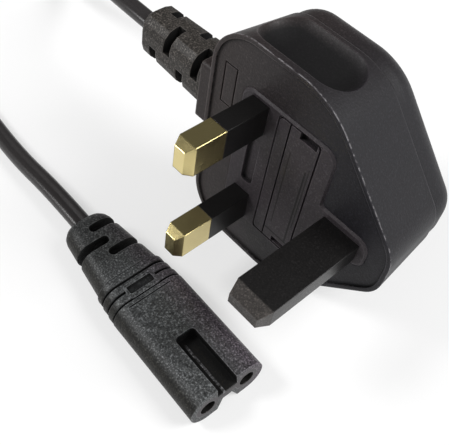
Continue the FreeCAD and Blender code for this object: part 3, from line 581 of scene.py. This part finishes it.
def tie_tree():
    """Geometry nodes of a wire tie: a ribbon round a bundle and its two ends twisted together."""
    tree = bpy.data.node_groups.new("Wire tie", "GeometryNodeTree")
    new = tree.interface.new_socket
    for label in ("Bundle width", "Bundle height", "Ribbon width", "Ribbon thickness", "Corner", "Tail",
                  "Twists"):
        new(label, in_out="INPUT", socket_type="NodeSocketFloat")
    new("Material", in_out="INPUT", socket_type="NodeSocketMaterial")
    new("Geometry", in_out="OUTPUT", socket_type="NodeSocketGeometry")
    given = tree.nodes.new("NodeGroupInput").outputs
    thick = given["Ribbon thickness"]

    def ring(radius, points):
        return node(tree, "GeometryNodeCurvePrimitiveCircle",
                    {"Radius": radius, "Resolution": points}).outputs[0]

    def moved(shape, **how):
        values = {key.capitalize(): value for key, value in how.items()}
        return node(tree, "GeometryNodeTransform", {"Geometry": shape, **values}).outputs[0]

    def joined(*shapes):
        join = tree.nodes.new("GeometryNodeJoinGeometry")
        for shape in shapes:
            tree.links.new(shape, join.inputs[0])
        return join.outputs[0]

    flat = node(tree, "ShaderNodeCombineXYZ", {0: thick, 1: given["Ribbon width"], 2: 1.0}).outputs[0]
    loop = node(tree, "GeometryNodeCurvePrimitiveQuadrilateral",
                {"Width": maths(tree, "ADD", given["Bundle width"], thick),
                 "Height": maths(tree, "ADD", given["Bundle height"], thick)}).outputs[0]
    loop = node(tree, "GeometryNodeFilletCurve", {"Curve": loop, "Radius": given["Corner"], "Count": 6},
                mode="POLY").outputs[0]
    loop = node(tree, "GeometryNodeSetCurveNormal", {"Curve": loop}, mode="Z_UP").outputs[0]
    band = node(tree, "GeometryNodeCurveToMesh",
                {"Curve": loop, "Profile Curve": moved(ring(0.5, 14), scale=flat)}).outputs[0]

    turn = product(tree, thick, STRAND_RADIUS)
    helix = node(tree, "GeometryNodeCurveSpiral",
                 {"Resolution": 24, "Rotations": given["Twists"], "Start Radius": turn,
                  "End Radius": turn, "Height": given["Tail"]}).outputs[0]
    strand = node(tree, "GeometryNodeCurveToMesh",
                  {"Curve": helix, "Profile Curve": ring(turn, 10), "Fill Caps": True}).outputs[0]
    other = moved(strand, rotation=(0.0, 0.0, math.pi))
    side = maths(tree, "MULTIPLY_ADD", given["Bundle width"], 0.5, product(tree, thick, TAIL_OFFSET))
    spot = node(tree, "ShaderNodeCombineXYZ", {0: side, 1: 0.0, 2: 0.0}).outputs[0]
    tail = moved(joined(strand, other), translation=spot,
                 rotation=tuple(math.radians(part) for part in TAIL_LEAN))

    whole = node(tree, "GeometryNodeSetShadeSmooth", {"Geometry": joined(band, tail)}).outputs[0]
    whole = node(tree, "GeometryNodeRealizeInstances", {"Geometry": whole}).outputs[0]
    whole = node(tree, "GeometryNodeSetMaterial",
                 {"Geometry": whole, "Material": given["Material"]}).outputs[0]
    tree.links.new(whole, tree.nodes.new("NodeGroupOutput").inputs[0])
    return tree


def built_by_nodes(name, tree, values, place):
    """A plain mesh object from a geometry nodes tree, with its place in its mesh."""
    holder = bpy.data.objects.new(name + "_nodes", bpy.data.meshes.new(name + "_nodes"))
    bpy.context.scene.collection.objects.link(holder)
    modifier = holder.modifiers.new(name, "NODES")
    modifier.node_group = tree
    for item in tree.interface.items_tree:
        if item.in_out == "INPUT" and item.name in values:
            modifier[item.identifier] = values[item.name]
    shaped = holder.evaluated_get(bpy.context.evaluated_depsgraph_get())
    mesh = bpy.data.meshes.new_from_object(shaped)
    bpy.data.objects.remove(holder)
    mesh.name = name
    mesh.transform(place)
    made = bpy.data.objects.new(name, mesh)
    bpy.context.scene.collection.objects.link(made)
    return made


class LEAD_OT_tie(bpy.types.Operator):
    """Wraps the tie round the coil"""
    bl_idname = "power_lead.tie"
    bl_label = "Tie"

    def execute(self, context):
        looks, sizes = context.scene.lead_finish, context.scene.lead_tie
        jacket = moulding("Tie jacket", looks.cord, roughness=0.3)[0]
        outwards = Vector((math.cos(sizes.angle), math.sin(sizes.angle), 0.0))
        middle = COIL_CENTRE * MM + outwards * context.scene.lead_sizes.coil_diameter / 2
        middle.z += sizes.bundle_height / 2 - TIE_SINK * MM
        upright = Matrix.Rotation(math.pi / 2, 4, "X")
        place = Matrix.Translation(middle) @ Matrix.Rotation(sizes.angle, 4, "Z") @ upright
        tie = built_by_nodes("wire_tie", tie_tree(), {
            "Bundle width": sizes.bundle_width, "Bundle height": sizes.bundle_height,
            "Ribbon width": sizes.ribbon_width, "Ribbon thickness": sizes.ribbon_thickness,
            "Corner": sizes.corner, "Tail": sizes.tail, "Twists": sizes.twists, "Material": jacket,
        }, place)
        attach(tie, "lead")
        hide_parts("cord_tie")
        return {"FINISHED"}


# The connector

def connector_colour(tree, looks):
    """Charcoal with painted shade on the left, painted light on the right, and painted shade in the key
    groove and panel window.
    """
    place = row_frame(tree)
    x, y, z = parts_of(tree, place)
    sideways = parts_of(tree, surface_normal(tree))[1]
    # The left side gets painted shade and the right side painted light; the boot gets darker towards its
    # tail.
    toned = blend_colours(tree, ramp(tree, sideways, *LEFT_SHADE_TURN), looks.connector, looks.connector_left_shade)
    toned = blend_colours(tree, ramp(tree, y, *RIGHT_LIGHT), toned, looks.connector_right_light)
    boot = product(tree, ramp(tree, x, *BOOT_TONE), BOOT_SHARE)
    toned = blend_colours(tree, boot, toned, looks.connector_left_shade)

    # The groove's floor gets painted shade, near black, and a painted highlight of lighter dots runs along
    # it.
    groove = product(tree, ramp(tree, x, *GROOVE_END), ramp(tree, z, *GROOVE_TOP),
                     ramp(tree, z, *GROOVE_FLOOR), inside(tree, y, *GROOVE_SIDES, soft=0.03))
    dots = ramp(tree, noise(tree, place, GROOVE_HIGHLIGHT_PER_MM), *GROOVE_HIGHLIGHT_DOTS)
    painted_highlight = product(tree, inside(tree, y, *GROOVE_HIGHLIGHT_SIDES, soft=0.1), ramp(tree, x, *GROOVE_HIGHLIGHT_END), dots)
    toned = blend_colours(tree, groove, toned, blend_colours(tree, painted_highlight, GROOVE_SHADE, GROOVE_HIGHLIGHT_GREY))

    # Painted shade in the panel's window.
    window = [inside(tree, way, *reach, soft=0.05) for way, reach in zip((x, y, z), WINDOW)]
    return blend_colours(tree, product(tree, *window), toned, WINDOW_SHADE)


def block_colour(tree, looks):
    """The contact block's face is as pale as the plate, and the walls of its bores get painted shade, near
    black.
    """
    forward = parts_of(tree, surface_normal(tree))[0]
    return blend_colours(tree, ramp(tree, forward, *BLOCK_FACE), BORE_SHADE, looks.insert)


class LEAD_OT_connector(bpy.types.Operator):
    """Gives the connector its eroded charcoal finish and its contacts their metal"""
    bl_idname = "power_lead.connector"
    bl_label = "Connector finish"

    def execute(self, context):
        looks = context.scene.lead_finish
        shell, tree, inputs = moulding("Connector moulding", looks.connector, looks.grain,
                                       looks.grain_depth, roughness=0.46, speckle=1.0, edge=looks.edge,
                                       hollow=3.0 * MM, shade=0.96, shine=0.22)
        tree.links.new(connector_colour(tree, looks), inputs["Colour"])
        dress(shell, "connector_shell")
        block, tree, inputs = moulding("Connector block", looks.insert, looks.grain, roughness=0.42)
        tree.links.new(block_colour(tree, looks), inputs["Colour"])
        dress(block, "contact_block")
        dress(metal("Contact metal", looks.nickel, roughness=0.28, tarnish=0.2, edge=0.1 * MM),
              "socket_contact_left", "socket_contact_right")
        dress(moulding("Brown core", BROWN_CORE)[0], "connector_core_left", "plug_core_live")
        dress(moulding("Blue core", BLUE_CORE)[0], "connector_core_right", "plug_core_neutral")
        return {"FINISHED"}


# The plug

def scoop_mask(tree, along, aside, out):
    """A scoop is where a point of the flank lies inside the flank's own plane and its two bends."""
    flank = maths(tree, "MULTIPLY_ADD", out, FLANK_LEAN, FLANK_HALF_WIDTH)
    for way, start, bend in FLANK_BENDS:
        past = maths(tree, "MAXIMUM", maths(tree, "MULTIPLY_ADD", along, way, -start), 0.0)
        flank = maths(tree, "SUBTRACT", flank, product(tree, past, maths(tree, "DIVIDE", past, bend)))
    from_middle = maths(tree, "ABSOLUTE", aside)
    return product(tree, ramp(tree, maths(tree, "SUBTRACT", flank, from_middle), *SCOOP_DEPTH),
                   inside(tree, along, *SCOOP_ALONG, soft=1.0), inside(tree, out, *SCOOP_OUT, soft=0.1),
                   ramp(tree, from_middle, *SCOOP_SIDE))


def plug_moulding(looks):
    """The plug's overmould: painted shade towards its earth end, browner on the relief, painted shade in
    the scoops, and a painted highlight of light dots along the border of its face."""
    shell, tree, inputs = moulding("Plug moulding", looks.plug, looks.grain, depth=0.03 * MM,
                                   edge=0.4 * MM, shade=0.94, shine=0.22)
    place = plug_frame(tree)
    along, aside, out = parts_of(tree, place)
    relief = ramp(tree, along, *RELIEF_TONE)
    scoop = scoop_mask(tree, along, aside, out)
    # A painted highlight of light dots along the border of the face.
    dots = ramp(tree, noise(tree, place, BORDER_PER_MM), *BORDER_DOTS)
    painted_highlight = product(tree, inside(tree, out, *BORDER_EDGE, soft=0.05), dots, BORDER_HIGHLIGHT_SHARE)
    # Painted shade towards the earth end.
    toned = blend_colours(tree, ramp(tree, along, *EARTH_END_SHADE), looks.plug, looks.plug_earth_end_shade)
    toned = blend_colours(tree, relief, toned, looks.relief)
    # Painted shade in the scoops.
    toned = blend_colours(tree, scoop, toned, SCOOP_SHADE)
    for socket, value in (
        ("Colour", blend_colours(tree, painted_highlight, toned, BORDER_HIGHLIGHT)),
        ("Speckle", ramp(tree, relief, 0.0, 1.0, MOULDING_SPECKLE, RELIEF_SPECKLE)),
        ("Roughness", ramp(tree, scoop, 0.0, 1.0, MOULDING_ROUGHNESS, SCOOP_ROUGHNESS)),
        ("Hollow", ramp(tree, relief, 0.0, 1.0, MOULDING_HOLLOW, RELIEF_HOLLOW)),
    ):
        tree.links.new(value, inputs[socket])
    return shell


def carrier_moulding(looks):
    """The fuse carrier: hard plastic with fine dark lines round its middle."""
    cover, tree, inputs = hard_plastic("Fuse carrier", looks)
    along, aside = parts_of(tree, plug_frame(tree))[:2]
    toned = looks.insert
    for ends, sides, share in CARRIER_LINES:
        line = product(tree, inside(tree, along, *ends, soft=LINE_SOFT),
                       inside(tree, aside, *sides, soft=LINE_SOFT), share)
        toned = blend_colours(tree, line, toned, LINE_BLACK)
    tree.links.new(toned, inputs["Colour"])
    return cover


def earth_pin_moulding(looks):
    """The earth pin: black, scuffed to a lighter grey at its tip."""
    pin, tree, inputs = moulding("Earth pin", looks.sleeve, grain=0.3 * MM, depth=0.03 * MM,
                                 roughness=0.38, speckle=0.5, shine=0.3)
    place = plug_frame(tree)
    tip = ramp(tree, parts_of(tree, place)[2], *TIP_START)
    wear = maths(tree, "ADD", noise(tree, place, TIP_PER_MM, detail=3.0), TIP_WEAR)
    toned = blend_colours(tree, maths(tree, "MULTIPLY", tip, wear, clamp=True), looks.sleeve, TIP_GREY)
    tree.links.new(toned, inputs["Colour"])
    return pin


class LEAD_OT_plug(bpy.types.Operator):
    """Gives the plug its black moulding, face plate, sleeves and brass blades"""
    bl_idname = "power_lead.plug"
    bl_label = "Plug finish"

    def execute(self, context):
        looks = context.scene.lead_finish
        dress(plug_moulding(looks), "plug_shell")
        dress(hard_plastic("Face plate", looks)[0], "plug_bridge")
        dress(carrier_moulding(looks), "fuse_carrier")
        dress(moulding("Blade sleeve", looks.sleeve, roughness=0.36, shine=0.25)[0],
              "live_pin_sleeve", "neutral_pin_sleeve")
        dress(metal("Blade brass", looks.brass, roughness=0.17, tarnish=0.12, edge=0.3 * MM),
              "live_pin", "neutral_pin")
        dress(metal("Clip brass", looks.brass, roughness=0.30, tarnish=0.3, edge=0.1 * MM),
              "fuse_clip_live", "fuse_clip_load")
        dress(earth_pin_moulding(looks), "earth_pin")
        return {"FINISHED"}


class LEAD_OT_fuse(bpy.types.Operator):
    """Gives the fuse its glazed barrel and plated caps"""
    bl_idname = "power_lead.fuse"
    bl_label = "Fuse finish"

    def execute(self, context):
        looks = context.scene.lead_finish
        dress(moulding("Fuse ceramic", looks.ceramic, roughness=0.18, speckle=0.0, shine=0.5)[0],
              "fuse_barrel")
        dress(metal("Fuse caps", looks.nickel, roughness=0.22, tarnish=0.2, edge=0.2 * MM),
              "fuse_cap_live", "fuse_cap_load")
        return {"FINISHED"}


# The stage

def lamp(name, place, aim, width, power):
    data = bpy.data.lights.new(name, "AREA")
    data.shape, data.size, data.energy = "DISK", width, power
    made = bpy.data.objects.new(name, data)
    made.location = place
    made.rotation_euler = (Vector(aim) - Vector(place)).to_track_quat("-Z", "Y").to_euler()
    bpy.context.scene.collection.objects.link(made)


def pale_floor(tint):
    """Pale floor that stays near white to the camera and in reflections, and keeps the shadow."""
    made = bpy.data.materials.new("Pale floor")
    made.use_nodes = True
    tree = made.node_tree
    tree.nodes.clear()
    path = node(tree, "ShaderNodeLightPath").outputs
    seen = maths(tree, "MAXIMUM", path["Is Camera Ray"],
                 maths(tree, "MAXIMUM", path["Is Glossy Ray"], path["Is Transmission Ray"]))
    plain = node(tree, "ShaderNodeBsdfDiffuse", {"Color": opaque(tint)}).outputs[0]
    white = node(tree, "ShaderNodeEmission", {"Color": (1, 1, 1, 1), "Strength": 1.0}).outputs[0]
    shown = node(tree, "ShaderNodeMixShader", {0: FLOOR_GLOW, 1: plain, 2: white}).outputs[0]
    mixed = node(tree, "ShaderNodeMixShader", {0: seen, 1: plain, 2: shown}).outputs[0]
    tree.links.new(mixed, node(tree, "ShaderNodeOutputMaterial").inputs[0])
    return made


def lay_floor(tint):
    data = bpy.data.meshes.new("floor")
    corners = [(x * FLOOR_HALF, y * FLOOR_HALF, 0) for x, y in ((-1, -1), (1, -1), (1, 1), (-1, 1))]
    data.from_pydata(corners, [], [(0, 1, 2, 3)])
    data.materials.append(pale_floor(tint))
    floor = bpy.data.objects.new("floor", data)
    bpy.context.scene.collection.objects.link(floor)


def studio(flag):
    """White to the camera, softer as light, with a dark flag high behind the object that
    keeps its tops from glaring."""
    world = bpy.data.worlds.new("Studio")
    world.use_nodes = True
    tree = world.node_tree
    ray = node(tree, "ShaderNodeTexCoord").outputs["Generated"]
    turned = cosine(tree, ray, flag)
    soft = ramp(tree, turned, 0.0, FLAG_SPREAD, SKY_OPEN, SKY_FLAG, interpolation_type="SMOOTHSTEP")
    camera_ray = node(tree, "ShaderNodeLightPath").outputs["Is Camera Ray"]
    sky = tree.nodes["Background"]
    sky.inputs["Color"].default_value = (1, 1, 1, 1)
    tree.links.new(ramp(tree, camera_ray, 0.0, 1.0, soft, 1.0), sky.inputs["Strength"])
    return world


def set_camera(scene, looks):
    """A camera that looks level along its azimuth and down by its elevation."""
    a, e = looks.azimuth, looks.elevation
    backward = Vector((math.sin(a) * math.cos(e), -math.cos(a) * math.cos(e), math.sin(e)))
    right = Vector((math.cos(a), math.sin(a), 0))
    data = bpy.data.cameras.new("Camera")
    data.sensor_fit, data.sensor_width, data.lens = "HORIZONTAL", 36.0, looks.lens
    data.clip_start, data.clip_end = 0.005, 20.0
    camera = bpy.data.objects.new("Camera", data)
    camera.matrix_world = Matrix((right, backward.cross(right), backward)).transposed().to_4x4()
    camera.location = looks.place
    scene.collection.objects.link(camera)
    scene.camera = camera


class LEAD_OT_stage(bpy.types.Operator):
    """Sets the pale floor, the soft lamps and the camera"""
    bl_idname = "power_lead.stage"
    bl_label = "Stage"

    def execute(self, context):
        scene = context.scene
        looks = scene.lead_stage
        lay_floor(looks.floor)
        scene.world = studio(looks.flag)
        for settings in LAMPS:
            lamp(*settings)
        set_camera(scene, looks)
        scene.view_settings.view_transform = "Standard"
        return {"FINISHED"}


# The add-on

class LEAD_PT_panel(bpy.types.Panel):
    """Sizes, finishes and steps of the power lead"""
    bl_idname = "LEAD_PT_panel"
    bl_label = "Power Lead"
    bl_space_type = "VIEW_3D"
    bl_region_type = "UI"
    bl_category = "Power Lead"

    def draw(self, context):
        for settings in (context.scene.lead_sizes, context.scene.lead_tie, context.scene.lead_finish,
                         context.scene.lead_stage):
            box = self.layout.box()
            for name in settings.__annotations__:
                box.prop(settings, name)
        for step in STEPS:
            self.layout.operator(step.bl_idname)


STEPS = (LEAD_OT_cord, LEAD_OT_tie, LEAD_OT_connector, LEAD_OT_plug, LEAD_OT_fuse, LEAD_OT_stage)
CLASSES = (LeadSizes, TieSizes, FinishLooks, StageLooks, *STEPS, LEAD_PT_panel)


def register():
    for made in CLASSES:
        bpy.utils.register_class(made)
    bpy.types.Scene.lead_sizes = PointerProperty(type=LeadSizes)
    bpy.types.Scene.lead_tie = PointerProperty(type=TieSizes)
    bpy.types.Scene.lead_finish = PointerProperty(type=FinishLooks)
    bpy.types.Scene.lead_stage = PointerProperty(type=StageLooks)


def unregister():
    for name in ("lead_sizes", "lead_tie", "lead_finish", "lead_stage"):
        delattr(bpy.types.Scene, name)
    for made in reversed(CLASSES):
        bpy.utils.unregister_class(made)


def main():
    register()
    for step in (bpy.ops.power_lead.cord, bpy.ops.power_lead.tie, bpy.ops.power_lead.connector,
                 bpy.ops.power_lead.plug, bpy.ops.power_lead.fuse, bpy.ops.power_lead.stage):
        step()


if __name__ == "__main__":
    main()
